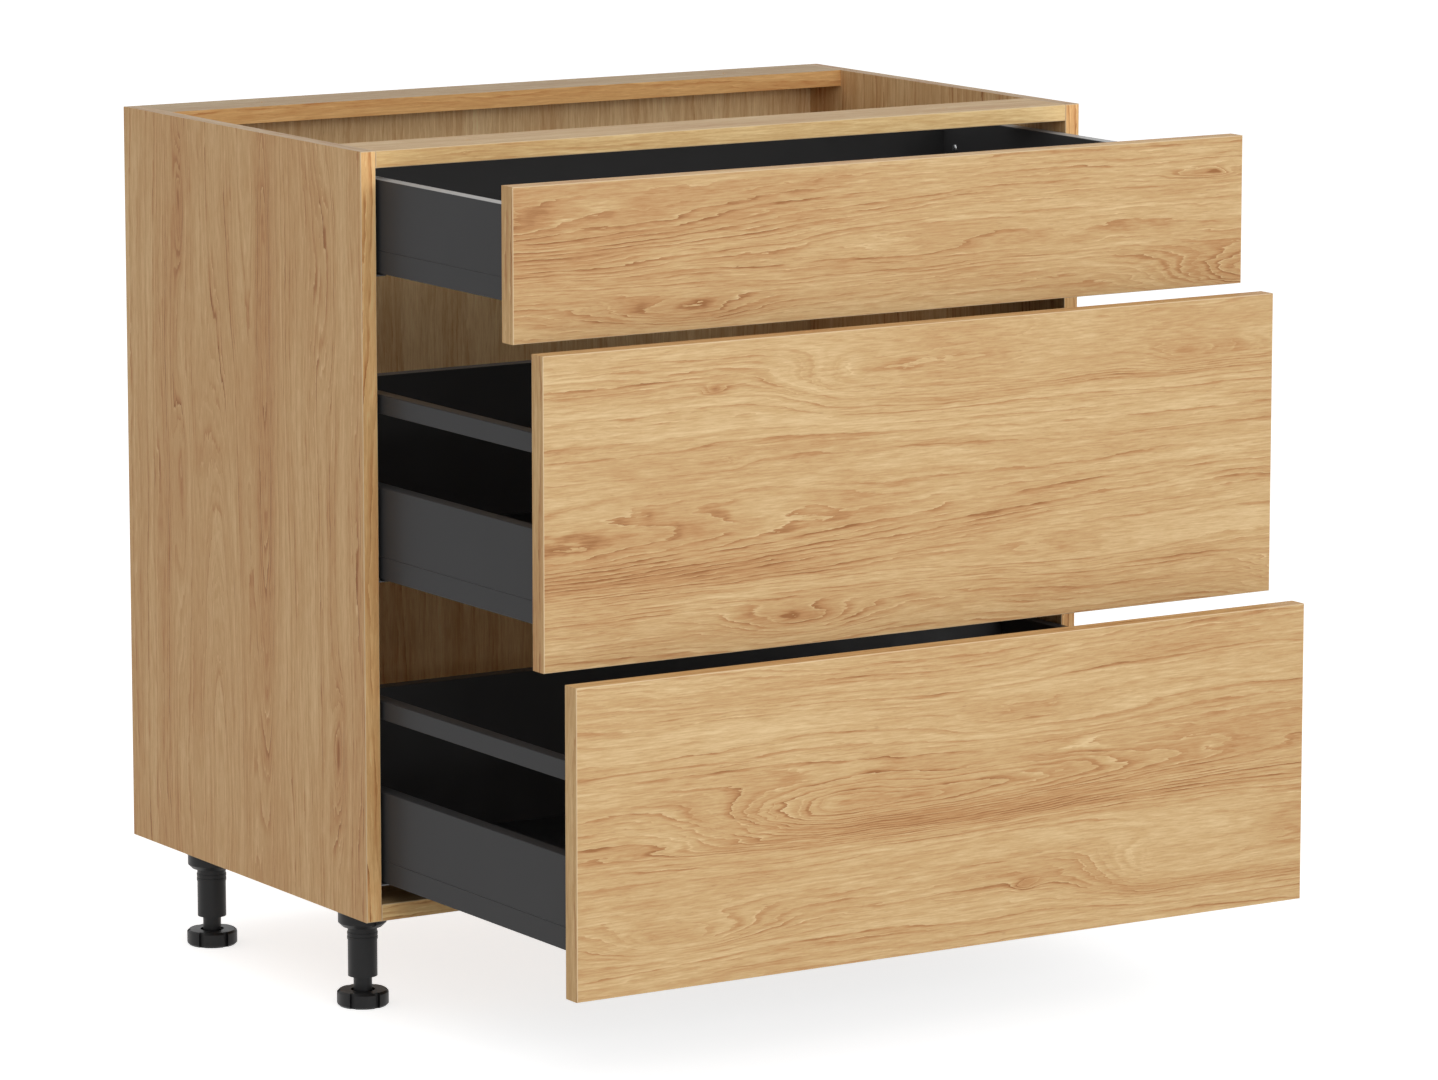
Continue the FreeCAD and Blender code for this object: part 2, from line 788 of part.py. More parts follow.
def make_drawer_floor(name):
    body = new_body(f"drawer_floor_{name}", drawer_base(name))
    edge = side_inner + cell("drawer_floor_clearance")
    add_slab(body, (edge, cabinet_width - edge), (side_front, side_back), (ledge_top, floor_height))
    pilots = [
        (span(side, ledge_screw_across, ledge_screw_across)[0], depth, screw_hole_radius)
        for side in ("left", "right")
        for depth in ledge_screw_depths
    ]
    remove(body, "XY", ledge_top, ledge_top + pilot_depth, circles=pilots)


def make_drawer_back(name):
    body = new_body(f"drawer_back_{name}", drawer_base(name))
    top = cell("upper_back_height") if name == "upper" else cell("tall_back_height")
    across = (side_inner, cabinet_width - side_inner)
    add_slab(body, across, (back_front, side_back), (floor_height, top))


def make_front_fixings(name):
    # blocks inside the metal sides, and on deep drawers the connectors of the gallery rails
    body = new_body(f"front_fixings_{name}", drawer_base(name))
    holes = []
    for side in ("left", "right"):
        add_slab(body, span(side, *fixing_across), (side_front, fixing_back), fixing_up)
        axis = span(side, runner_axis, runner_axis)[0]
        holes += [(axis, height, screw_hole_radius) for height in fixing_screw_heights]
        if name != "upper":
            low = gallery_bottom - cell("connector_drop")
            across = span(side, side_outer, side_inner)
            add_slab(body, across, (side_front, connector_back), (low, gallery_top))
    remove(body, "XZ", side_front, fixing_back, circles=holes)


def make_gallery_rail(name, side):
    body = new_body(f"gallery_rail_{name}_{side}", drawer_base(name))
    wall = cell("gallery_wall")
    outer = rectangle((side_outer, side_inner), (gallery_bottom, gallery_top))
    inner_up = (gallery_bottom + wall, gallery_top - wall)
    inner = rectangle((side_outer + wall, side_inner - wall), inner_up)
    outlines = [mirrored(side, outer), mirrored(side, inner)]
    add(body, "XZ", connector_back, holder_front, outlines)
    round_edges(body, cell("side_round"), along_depth(*outlines[0]))


def make_back_holders(name):
    # channels that stand on the metal sides and carry the back and the gallery rails
    body = new_body(f"back_holders_{name}", drawer_base(name))
    for side in ("left", "right"):
        channel = [
            (side_outer, holder_front), (side_inner, holder_front),
            (side_inner, side_back), (side_inner - side_wall, side_back),
            (side_inner - side_wall, holder_front + side_wall),
            (side_outer + side_wall, holder_front + side_wall),
            (side_outer + side_wall, side_back), (side_outer, side_back),
        ]
        add(body, "XY", side_height, gallery_top, [mirrored(side, channel)])


def make_drawer_screws(name):
    # screws of the floor, the front fixings and the inner walls
    up, forward = (0, 0, 1), (0, -1, 0)
    screws = []
    for side, outward in (("left", (-1, 0, 0)), ("right", (1, 0, 0))):
        across = span(side, ledge_screw_across, ledge_screw_across)[0]
        for depth in ledge_screw_depths:
            start = (across, depth, ledge_top - side_wall)
            screws.append(screw(start, up, side_wall + screw_in_board))
        axis = span(side, runner_axis, runner_axis)[0]
        for height in fixing_screw_heights:
            length = cell("fixing_length") + screw_in_board
            screws.append(screw((axis, fixing_back, height), forward, length))
        wall = span(side, side_inner, side_inner)[0]
        start = (wall, inner_screw_depth, inner_screw_rise)
        screws.append(screw(start, outward, cell("inner_screw_length")))
    loose_group(f"drawer_screws_{name}", screws, drawer_base(name))


# The carcass
for side in ("left", "right"):
    make_side_panel(side)
make_bottom_panel()
make_front_top_rail()
make_rear_top_rail()
make_back_panel()
make_carcass_dowels()
make_carcass_screws()

# The legs
for spot in leg_spots:
    make_leg_socket(spot)
    make_leg_tube(spot)
    make_leg_foot(spot)

# The drawers and their runners
for name in openings:
    make_front_panel(name)
    make_drawer_floor(name)
    make_drawer_back(name)
    make_drawer_rails(name)
    make_slide_members(name)
    make_front_fixings(name)
    make_drawer_screws(name)
    for side in ("left", "right"):
        make_drawer_side(name, side)
        make_runner_rail(name, side)
        if name != "upper":
            make_gallery_rail(name, side)
    if name != "upper":
        make_back_holders(name)

doc.recompute()

# Each feature has to be sound, each cut has to take something away, and each piece to be closed
for thing in doc.Objects:
    if {"Invalid", "Error"} & set(thing.State):
        raise RuntimeError(f"{thing.Name} ({thing.Label}) failed: {thing.State}")
for before, after in cuts:
    if not after.Shape.Volume < before.Shape.Volume:
        raise RuntimeError(f"{after.Name} takes nothing away from {before.Name}")
pieces = [
    thing for thing in doc.Objects
    if thing.isDerivedFrom("PartDesign::Body") or thing.TypeId == "Part::Feature"
]
for piece in pieces:
    if piece.Shape.isNull() or not piece.Shape.isValid():
        raise RuntimeError(f"{piece.Label} has no sound shape")

os.makedirs("parts", exist_ok=True)
for piece in pieces:
    piece.Shape.exportStep(f"parts/{piece.Label}.step")
print(len(pieces), "pieces written")
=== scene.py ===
import json
import math

import bmesh
import bpy
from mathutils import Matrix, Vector


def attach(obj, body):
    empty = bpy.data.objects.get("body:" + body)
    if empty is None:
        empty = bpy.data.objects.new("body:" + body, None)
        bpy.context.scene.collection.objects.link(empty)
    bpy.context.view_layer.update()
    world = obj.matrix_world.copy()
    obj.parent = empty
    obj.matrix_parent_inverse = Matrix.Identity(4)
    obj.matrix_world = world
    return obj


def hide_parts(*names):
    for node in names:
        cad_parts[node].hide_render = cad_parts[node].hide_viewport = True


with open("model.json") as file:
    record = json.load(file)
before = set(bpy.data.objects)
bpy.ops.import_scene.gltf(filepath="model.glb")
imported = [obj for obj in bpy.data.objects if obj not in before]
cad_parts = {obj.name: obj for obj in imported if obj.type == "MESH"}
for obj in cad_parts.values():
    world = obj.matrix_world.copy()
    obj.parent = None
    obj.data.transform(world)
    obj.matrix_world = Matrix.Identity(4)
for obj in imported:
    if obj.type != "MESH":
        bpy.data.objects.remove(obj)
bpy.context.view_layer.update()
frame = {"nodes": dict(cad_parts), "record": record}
nodes = frame["nodes"]
sides = ("left", "right")
tiers = ("upper", "middle", "lower")
untinted = (1.0, 1.0, 1.0)
white = (*untinted, 1.0)
print("frame loaded:", len(nodes), "pieces")


def paint(red, green, blue):  # a colour as given on screen, 0 to 255, as the shaders want it
    def linear(value):
        share = value / 255
        return share / 12.92 if share <= 0.04045 else ((share + 0.055) / 1.055) ** 2.4
    return (linear(red), linear(green), linear(blue), 1.0)


def limits(points):  # the lowest and the highest corner round some points
    return [Vector([pick(point[axis] for point in points) for axis in range(3)]) for pick in (min, max)]


def addToScene(name, data):
    item = bpy.data.objects.new(name, data)
    bpy.context.scene.collection.objects.link(item)
    return item


def fillInputs(tree, node, inputs):  # an input takes a plain value or a link from another node
    for key, value in inputs.items():
        if isinstance(value, bpy.types.NodeSocket):
            tree.links.new(value, node.inputs[key])
        else:
            node.inputs[key].default_value = value


def makeNode(tree, kind, inputs=None, **settings):
    node = tree.nodes.new(kind)
    for name, value in settings.items():
        setattr(node, name, value)
    fillInputs(tree, node, inputs or {})
    return node


def calc(tree, operation, *values):
    return makeNode(tree, "ShaderNodeMath", dict(enumerate(values)), operation=operation).outputs[0]


def vectorCalc(tree, operation, *values):
    return makeNode(tree, "ShaderNodeVectorMath", dict(enumerate(values)), operation=operation).outputs[0]


def combine(tree, x, y, z):
    return makeNode(tree, "ShaderNodeCombineXYZ", {"X": x, "Y": y, "Z": z}).outputs[0]


def separate(tree, vector):
    return makeNode(tree, "ShaderNodeSeparateXYZ", {0: vector}).outputs


def mix(tree, share, first, second):
    return makeNode(tree, "ShaderNodeMix", {"Factor": share, "A": first, "B": second}).outputs["Result"]


def mixShades(tree, share, first, second, way="MIX"):
    return makeNode(tree, "ShaderNodeMix", {"Factor": share, "A": first, "B": second},
                    data_type="RGBA", blend_type=way).outputs[2]


def ramp(tree, value, fromLow, fromHigh, toLow=0.0, toHigh=1.0, smooth=True):
    return makeNode(tree, "ShaderNodeMapRange", {
        "Value": value, "From Min": fromLow, "From Max": fromHigh, "To Min": toLow, "To Max": toHigh,
    }, interpolation_type="SMOOTHSTEP" if smooth else "LINEAR").outputs["Result"]


def cloud(tree, vector, detail, roughness):  # noise centred on 0, about -1 to 1
    noise = makeNode(tree, "ShaderNodeTexNoise", {
        "Vector": vector, "Scale": 1.0, "Detail": detail, "Roughness": roughness,
    })
    return calc(tree, "MULTIPLY_ADD", noise.outputs["Fac"], 4.0, -2.0)


def newGroup(name, inputs, outputs):
    group = bpy.data.node_groups.new(name, "ShaderNodeTree")
    for label, kind, value in inputs:
        socket = group.interface.new_socket(label, in_out="INPUT", socket_type=kind)
        if value is not None:
            socket.default_value = value
    for label, kind in outputs:
        group.interface.new_socket(label, in_out="OUTPUT", socket_type=kind)
    start = group.nodes.new("NodeGroupInput")
    end = group.nodes.new("NodeGroupOutput")
    return group, start.outputs, end.inputs


def placeGroup(tree, group, inputs):
    node = tree.nodes.new("ShaderNodeGroup")
    node.node_tree = group
    fillInputs(tree, node, inputs)
    return node.outputs


def startMaterial(name):
    material = bpy.data.materials.new(name)
    material.use_nodes = True
    coords = makeNode(material.node_tree, "ShaderNodeTexCoord").outputs
    return material, material.node_tree, coords


def finishMaterial(material, shade, skin, look):  # skin gives the roughness and the height of the relief
    tree = material.node_tree
    surface = tree.nodes["Principled BSDF"]
    tree.links.new(shade, surface.inputs["Base Color"])
    tree.links.new(skin["Roughness"], surface.inputs["Roughness"])
    bump = makeNode(tree, "ShaderNodeBump", {
        "Height": skin["Height"], "Strength": look["bump"], "Distance": look["relief"],
    })
    tree.links.new(bump.outputs["Normal"], surface.inputs["Normal"])
    surface.inputs["Metallic"].default_value = look["metallic"]
    surface.inputs["Specular IOR Level"].default_value = look["shine"]


def dress(material, *names):
    for name in names:
        slots = nodes[name].data.materials
        if len(slots) == 0:
            slots.append(material)
        for index in range(len(slots)):
            slots[index] = material


number, vector3, colour = "NodeSocketFloat", "NodeSocketVector", "NodeSocketColor"
eyeTaper = -0.55  # what each ring's width across from an eye's middle adds to its rings


# An eye in the grain: growth rings heaped up round a spot, with a longer tail on one side
def buildGrainEye():
    group, given, result = newGroup("grainEye", [
        ("Vector", vector3, None), ("Along", number, 0.0), ("Across", number, 0.0),
        ("Reach Before", number, 0.08), ("Reach After", number, 0.3), ("Spread", number, 0.02),
        ("Rings", number, 6.0), ("Stain", number, 0.3), ("Ring Spacing", number, 0.006),
        ("So Far", number, 0.0), ("Stain So Far", number, 0.0),
    ], [("Rise", number), ("Stain", number)])
    place = separate(group, given["Vector"])
    along = calc(group, "SUBTRACT", place["X"], given["Along"])
    across = calc(group, "SUBTRACT", place["Y"], given["Across"])
    isAfter = calc(group, "GREATER_THAN", along, 0.0)
    reach = mix(group, isAfter, given["Reach Before"], given["Reach After"])
    alongShare = calc(group, "DIVIDE", along, reach)
    acrossShare = calc(group, "DIVIDE", across, given["Spread"])
    squares = calc(group, "ADD", calc(group, "MULTIPLY", alongShare, alongShare),
                   calc(group, "MULTIPLY", acrossShare, acrossShare))
    bell = calc(group, "EXPONENT", calc(group, "MULTIPLY", squares, -1.0))
    taper = calc(group, "MULTIPLY", calc(group, "DIVIDE", across, given["Ring Spacing"]), eyeTaper)
    rings = calc(group, "ADD", given["Rings"], taper)
    rise = calc(group, "MULTIPLY_ADD", bell, rings, given["So Far"])
    stain = calc(group, "MULTIPLY_ADD", bell, given["Stain"], given["Stain So Far"])
    group.links.new(rise, result["Rise"])
    group.links.new(stain, result["Stain"])
    return group


figureLook = {
    # noises: waves a metre along the grain and across it, detail, roughness
    "drift": (1.5, 7.0, 2.0, 0.5),
    "bend": (3.2, 19.0, 2.0, 0.5),
    "waver": (9.0, 50.0, 3.0, 0.55),
    "ripple": (60.0, 420.0, 2.0, 0.5),
    "bands": (1.6, 26.0, 3.0, 0.55),
    "patches": (6.0, 48.0, 3.0, 0.6),
    "streaks": (8.0, 190.0, 3.0, 0.65),
    "fibres": (42.0, 600.0, 3.0, 0.75),
    "dashes": (22.0, 190.0, 2.0, 0.5),
    "pores": (105.0, 900.0, 1.0, 0.5),
    # how many rings' width each noise shifts the rings by
    "ringShifts": {"bend": 0.5, "waver": 0.5, "ripple": 0.14},
    # the tone of bare ground, what each mark adds to it, and the tones of pale, middle, warm and deep
    "ground": 0.47,
    "marks": {"bands": 0.16, "patches": 0.15, "streaks": 0.2, "fibres": 0.27, "rings": 0.10,
              "darkLines": 0.42, "paleLines": -0.22, "stain": 0.6},
    "toneSteps": (0.1, 0.5, 0.9, 1.4),
    # ramps: where each starts and ends, then its values there, unless they are 0 and 1
    "darkLine": (0.2, 0.95),
    "paleLine": (0.2, 0.03),
    "stained": (0.02, 0.3),
    "linesInPatches": (-0.8, 0.9, 0.3, 1.0),
    "dashStrength": (-0.7, 0.7, 0.2, 1.5),
    "poreEdge": (0.55, 1.1),
    "poresInPatches": (-0.8, 0.6, 0.25, 1.0),
    "roughness": (-1.2, 1.2, 0.46, 0.6),
    # powers and shares
    "chancePower": 1.1,
    "darkPower": 2.0,
    "stainedLines": 0.4,
    "poreShade": 0.3,
    "lineDepth": 0.5,
    "fibreHeight": 0.3,
}


# Oak decor: growth rings along the board, with warm bands, fibres and short pores
def buildOakFigure():
    group, given, result = newGroup("oakFigure", [
        ("Vector", vector3, None), ("Rise", number, 0.0), ("Stain", number, 0.0),
        ("Ring Spacing", number, 0.006), ("Wander", number, 2.0), ("Contrast", number, 1.0),
        ("Fibre", number, 1.0), ("Pale", colour, white), ("Middle", colour, white),
        ("Warm", colour, white), ("Deep", colour, white),
    ], [("Color", colour), ("Roughness", number), ("Height", number)])
    place = separate(group, given["Vector"])

    def streaky(noise, across=place["Y"]):
        alongScale, acrossScale, detail, roughness = figureLook[noise]
        stretched = combine(group, calc(group, "MULTIPLY", place["X"], alongScale),
                            calc(group, "MULTIPLY", across, acrossScale),
                            calc(group, "MULTIPLY", place["Z"], acrossScale))
        return cloud(group, stretched, detail, roughness)

    def shaped(value, name):
        return ramp(group, value, *figureLook[name])

    drift = calc(group, "MULTIPLY", streaky("drift"), given["Wander"])
    ringField = calc(group, "DIVIDE", place["Y"], given["Ring Spacing"])
    ringField = calc(group, "ADD", ringField, calc(group, "ADD", drift, given["Rise"]))
    for noise, rings in figureLook["ringShifts"].items():
        ringField = calc(group, "MULTIPLY_ADD", streaky(noise), rings, ringField)
    flow = calc(group, "MULTIPLY", ringField, given["Ring Spacing"])  # across, bent as the rings are

    ringNumber = calc(group, "FLOOR", ringField)
    inRing = calc(group, "FRACT", ringField)
    chance = makeNode(group, "ShaderNodeTexWhiteNoise", {"W": ringNumber}, noise_dimensions="1D")
    ringChance = chance.outputs["Value"]
    patches = streaky("patches", flow)
    fibres = calc(group, "MULTIPLY", streaky("fibres"), given["Fibre"])

    # how strongly each ring is drawn, as a darkening line with a thin pale one after it
    stainedLines = calc(group, "MULTIPLY", shaped(given["Stain"], "stained"), figureLook["stainedLines"])
    strength = calc(group, "MULTIPLY_ADD", calc(group, "POWER", ringChance, figureLook["chancePower"]),
                    shaped(patches, "linesInPatches"), stainedLines)
    strength = calc(group, "MULTIPLY", strength, shaped(streaky("dashes", flow), "dashStrength"))
    strength = calc(group, "MULTIPLY", strength, given["Contrast"])
    darkLine = calc(group, "POWER", shaped(inRing, "darkLine"), figureLook["darkPower"])
    darkLine = calc(group, "MULTIPLY", darkLine, strength)
    paleLine = calc(group, "MULTIPLY", shaped(inRing, "paleLine"), strength)

    marks = {
        "bands": streaky("bands", flow),
        "patches": patches,
        "streaks": calc(group, "MULTIPLY", streaky("streaks", flow), given["Fibre"]),
        "fibres": fibres,
        "rings": calc(group, "SUBTRACT", ringChance, 0.5),
        "darkLines": darkLine,
        "paleLines": paleLine,
        "stain": given["Stain"],
    }
    tone = figureLook["ground"]
    for name, mark in marks.items():
        tone = calc(group, "MULTIPLY_ADD", mark, figureLook["marks"][name], tone)
    shade = given["Pale"]
    steps = figureLook["toneSteps"]
    for low, high, label in zip(steps, steps[1:], ("Middle", "Warm", "Deep")):
        shade = mixShades(group, ramp(group, tone, low, high, smooth=False), shade, given[label])
    pores = calc(group, "MULTIPLY", shaped(streaky("pores"), "poreEdge"), shaped(patches, "poresInPatches"))
    shade = mixShades(group, calc(group, "MULTIPLY", pores, figureLook["poreShade"]), shade, given["Deep"])

    hollows = calc(group, "MULTIPLY_ADD", darkLine, figureLook["lineDepth"], pores)
    height = calc(group, "MULTIPLY_ADD", fibres, figureLook["fibreHeight"],
                  calc(group, "MULTIPLY", hollows, -1.0))
    group.links.new(shade, result["Color"])
    group.links.new(shaped(fibres, "roughness"), result["Roughness"])
    group.links.new(height, result["Height"])
    return group


grainEye = buildGrainEye()
oakFigure = buildOakFigure()

oak = {
    "ringSpacing": 0.0058,
    "wander": 2.4,
    "pale": paint(225, 195, 147),
    "middle": paint(205, 169, 119),
    "warm": paint(190, 143, 95),
    "deep": paint(158, 107, 63),
    "faceLimit": 0.7,  # a normal's share along an axis, over which the face counts as looking that way
    # painted highlight: a pale line on the rounded arrises, for the light they catch
    "arrisHighlight": paint(232, 208, 170),
    "arrisHighlightShare": 0.7,
    "arrisHighlightRamp": (0.995, 0.93),  # a normal's largest share, where the painted arris highlight begins and where it is full
    # what bends the eyes: waves a metre and reach, each along, across and into the board
    "bends": [
        ((9.0, 30.0, 30.0), (0.05, 0.010, 0.0)),
        ((14.0, 230.0, 230.0), (0.022, 0.0, 0.0)),
    ],
    "bump": 0.6,
    "relief": 0.00012,
    "metallic": 0.0,
    "shine": 0.2,
}

# How the grain lies: which of x, y, z runs along, across and into the board on each kind of face
layUpright = {"X": "ZYX", "Y": "ZXY", "Z": "YXZ"}
layLevel = {"X": "YZX", "Y": "XZY", "Z": "XYZ"}
layFront = {"X": "ZYX", "Y": "XZY", "Z": "XYZ"}


# a board's tint is partly its own tone and partly painted light, lifting or lowering the same oak to the
# light it gets
def tinted(shade, tint):
    return (*[value * share for value, share in zip(shade, tint)], 1.0)


# shift moves the decor on the board, and edgeFaces names the axes along which its banded edges look
# the edge tint is painted light on the banded edges, and the top tint painted shade on faces that look up
def makeOak(name, lay, shift, eyes=(), contrast=1.0, fibre=1.0, tint=untinted,
            edgeFaces="", paintedEdgeLight=untinted, edgeContrast=0.0, paintedTopShade=untinted):
    material, tree, coords = startMaterial(name)
    place = separate(tree, coords["Object"])
    facing = separate(tree, coords["Normal"])
    steepness = {axis: calc(tree, "ABSOLUTE", facing[axis]) for axis in "XYZ"}
    onFace = {axis: calc(tree, "GREATER_THAN", steepness[axis], oak["faceLimit"]) for axis in "XZ"}
    onFace["Y"] = calc(tree, "SUBTRACT", 1.0, calc(tree, "ADD", onFace["X"], onFace["Z"]))
    grain = combine(tree, *[place[axis] for axis in lay["Y"]])
    for axis in "XZ":
        turned = combine(tree, *[place[other] for other in lay[axis]])
        grain = makeNode(tree, "ShaderNodeMix", {
            "Factor": onFace[axis], "A": grain, "B": turned,
        }, data_type="VECTOR").outputs[1]
    grain = vectorCalc(tree, "ADD", grain, shift)

    bent = grain
    for waves, reach in oak["bends"]:
        wobble = vectorCalc(tree, "MULTIPLY", grain, waves)
        bend = makeNode(tree, "ShaderNodeTexNoise", {"Vector": wobble, "Scale": 1.0, "Detail": 2.0})
        bend = vectorCalc(tree, "SUBTRACT", bend.outputs["Color"], (0.5, 0.5, 0.5))
        bent = vectorCalc(tree, "ADD", bent, vectorCalc(tree, "MULTIPLY", bend, reach))
    rise, stain = 0.0, 0.0
    for along, across, before, after, spread, rings, stained in eyes:
        heap = placeGroup(tree, grainEye, {
            "Vector": bent, "Along": along, "Across": across, "Reach Before": before,
            "Reach After": after, "Spread": spread, "Rings": rings, "Stain": stained,
            "Ring Spacing": oak["ringSpacing"], "So Far": rise, "Stain So Far": stain,
        })
        rise, stain = heap["Rise"], heap["Stain"]

    onEdge, flatness = 0.0, 0.0
    for axis in edgeFaces:
        onEdge = calc(tree, "ADD", onFace[axis], onEdge)
    for axis in "XYZ":
        flatness = calc(tree, "MAXIMUM", steepness[axis], flatness)
    figure = placeGroup(tree, oakFigure, {
        "Vector": grain, "Rise": rise, "Stain": stain, "Ring Spacing": oak["ringSpacing"],
        "Wander": oak["wander"], "Fibre": fibre,
        "Contrast": calc(tree, "MULTIPLY_ADD", onEdge, edgeContrast, contrast),
        **{label: tinted(oak[label.lower()], tint) for label in ("Pale", "Middle", "Warm", "Deep")},
    })
    # painted shade: faces that look up are darkened and cooled, for the light that falls on tops
    paintedTopMask = calc(tree, "GREATER_THAN", facing["Z"], oak["faceLimit"])
    # painted highlight along the rounded arrises
    arrisHighlight = calc(tree, "MULTIPLY", ramp(tree, flatness, *oak["arrisHighlightRamp"]), oak["arrisHighlightShare"])
    # painted light on the banded edges
    shade = mixShades(tree, onEdge, figure["Color"], (*paintedEdgeLight, 1.0), way="MULTIPLY")
    shade = mixShades(tree, paintedTopMask, shade, (*paintedTopShade, 1.0), way="MULTIPLY")
    shade = mixShades(tree, arrisHighlight, shade, oak["arrisHighlight"])
    finishMaterial(material, shade, figure, oak)
    return material


# Drawer fronts are cut from one sheet: where its grain lies on a front, from the front's top left corner
frontCuts = {"upper": (0.095, -0.137), "middle": (0.0, 0.0), "lower": (-0.300, 0.189)}
frontLook = {
    "contrast": 1.55, "tint": (0.955, 0.965, 0.98),
    # the edge tint is painted light, lifting the banded edges
    "edgeFaces": "XZ", "paintedEdgeLight": (1.14, 1.08, 1.0), "edgeContrast": 0.3,
    # along, across (up), reach before, reach after, spread, rings, stain
    "eyes": [
        (0.330, -0.038, 0.070, 0.420, 0.028, 8.0, 0.06),
        (0.700, -0.050, 0.060, 0.260, 0.014, 5.0, 0.15),
        (0.180, -0.042, 0.014, 0.018, 0.005, 2.0, 0.65),
        (0.195, -0.110, 0.090, 0.022, 0.007, 2.0, 0.08),
        (-0.080, -0.180, 0.400, 0.440, 0.036, 8.0, 0.50),
        (0.060, -0.210, 0.300, 0.260, 0.012, 1.0, 0.35),
        (0.272, -0.257, 0.085, 0.080, 0.014, 4.0, 0.46),
        (0.900, -0.262, 0.100, 0.300, 0.026, 9.0, 0.30),
        (0.855, -0.170, 0.050, 0.016, 0.006, 2.5, 0.65),
        (0.560, -0.222, 0.300, 0.260, 0.016, 3.0, 0.00),
        (-0.020, 0.054, 0.120, 0.480, 0.024, 13.0, 0.30),
        (0.060, 0.030, 0.120, 0.500, 0.010, 1.0, 0.50),
        (-0.200, -0.045, 0.060, 0.100, 0.014, 5.0, 0.10),
        (0.165, 0.117, 0.100, 0.160, 0.018, 2.5, -0.10),
        (-0.150, 0.030, 0.200, 0.160, 0.006, 1.5, 0.20),
    ],
}
for tier in tiers:
    low, high = limits(nodes[f"front_panel_{tier}"].bound_box)
    alongCut, acrossCut = frontCuts[tier]
    frontShift = (alongCut - low.x, acrossCut - high.z, 0.0)
    dress(makeOak(f"oakFront_{tier}", layFront, frontShift, **frontLook), f"front_panel_{tier}")
print("drawer fronts dressed")

# Side panels: the grain stands, and the right one is cut from further across the decor
sideCuts = {"left": (0.0, 0.0, 0.2), "right": (0.0, 1.31, 0.2)}
sideLook = {
    # the side's tint is partly a warmer tone and partly painted light that lifts the side
    "contrast": 1.75, "fibre": 0.85, "tint": (1.15, 1.085, 1.07),
    # the edge tint is painted light, lifting the front edges
    "edgeFaces": "Y", "paintedEdgeLight": (1.32, 1.28, 1.16), "edgeContrast": 1.0,
    # painted shade on the tops
    "paintedTopShade": (0.74, 0.82, 1.0),
    # along (up), across, reach before, reach after, spread, rings, stain
    "eyes": [
        (0.475, 0.312, 0.150, 0.070, 0.016, 6.0, 0.06),
        (0.180, 0.236, 0.300, 0.320, 0.034, 22.0, -0.06),
        (0.650, 0.140, 0.500, 0.700, 0.022, 16.0, 0.34),
        (0.740, 0.311, 0.060, 0.050, 0.012, 5.0, 0.46),
        (0.700, 0.023, 0.100, 0.120, 0.026, 5.0, -0.05),
        (0.250, 0.002, 0.070, 0.060, 0.013, 6.0, 0.40),
        (0.420, 0.352, 0.500, 0.500, 0.014, 1.5, 0.36),
        (0.300, -0.036, 0.300, 0.300, 0.008, 1.0, 0.35),
    ],
}
for side in sides:
    dress(makeOak(f"oakUpright_{side}", layUpright, sideCuts[side], **sideLook), f"side_panel_{side}")

# The other carcass boards: rails and bottom with the grain lying, and the back with it standing
railLook = {
    "shift": (0.4, 3.1, 0.0), "contrast": 0.6, "tint": (1.1, 1.05, 1.0),
    # the edge tint is painted light, lifting the front edges
    "edgeFaces": "Y", "paintedEdgeLight": (1.24, 1.34, 1.34), "edgeContrast": 0.8,
    # painted shade on the tops
    "paintedTopShade": (0.88, 0.93, 1.0),
}
rearRailLook = {
    "shift": (0.1, 4.4, 0.0), "contrast": 0.6, "tint": (0.95, 0.93, 0.95),
    # the edge tint is painted light, lifting the front edges
    "edgeFaces": "Y", "paintedEdgeLight": (1.29, 1.12, 0.87), "edgeContrast": 0.8,
    # painted shade on the tops
    "paintedTopShade": (0.78, 0.84, 0.92),
}
# the back's strong, cool tint is painted light on a board the cabinet shades
backLook = {"shift": (0.0, 5.3, 0.0), "contrast": 0.8, "tint": (1.42, 1.47, 1.58)}
dress(makeOak("oakRail", layLevel, **railLook), "front_top_rail", "bottom_panel")
dress(makeOak("oakRearRail", layLevel, **rearRailLook), "rear_top_rail")
dress(makeOak("oakBack", layUpright, **backLook), "back_panel")
print("carcass boards dressed")


# Powder coat, moulded plastic, steel, beech and matt board share a fine grainy skin
skinMix = {
    "grainDetail": 2.0,
    "mottleDetail": 4.0,
    "grainShare": 0.35,
    "mottleShare": 0.65,
    "contrast": (0.3, 0.7),  # where the mix is all base, and where it is all tint
}


def buildFineSkin():
    group, given, result = newGroup("fineSkin", [
        ("Vector", vector3, None), ("Grain", number, 900.0), ("Mottle", number, 12.0),
        ("Base", colour, white), ("Tint", colour, white),
        ("Smooth", number, 0.35), ("Rough", number, 0.5),
    ], [("Color", colour), ("Roughness", number), ("Height", number)])

    def noise(scale, detail):
        return makeNode(group, "ShaderNodeTexNoise", {
            "Vector": given["Vector"], "Scale": scale, "Detail": detail,
        }).outputs["Fac"]

    grainy = noise(given["Grain"], skinMix["grainDetail"])
    mottled = noise(given["Mottle"], skinMix["mottleDetail"])
    share = calc(group, "MULTIPLY_ADD", grainy, skinMix["grainShare"],
                 calc(group, "MULTIPLY", mottled, skinMix["mottleShare"]))
    share = ramp(group, share, *skinMix["contrast"])
    group.links.new(mixShades(group, share, given["Base"], given["Tint"]), result["Color"])
    group.links.new(mix(group, share, given["Smooth"], given["Rough"]), result["Roughness"])
    group.links.new(grainy, result["Height"])
    return group


fineSkin = buildFineSkin()

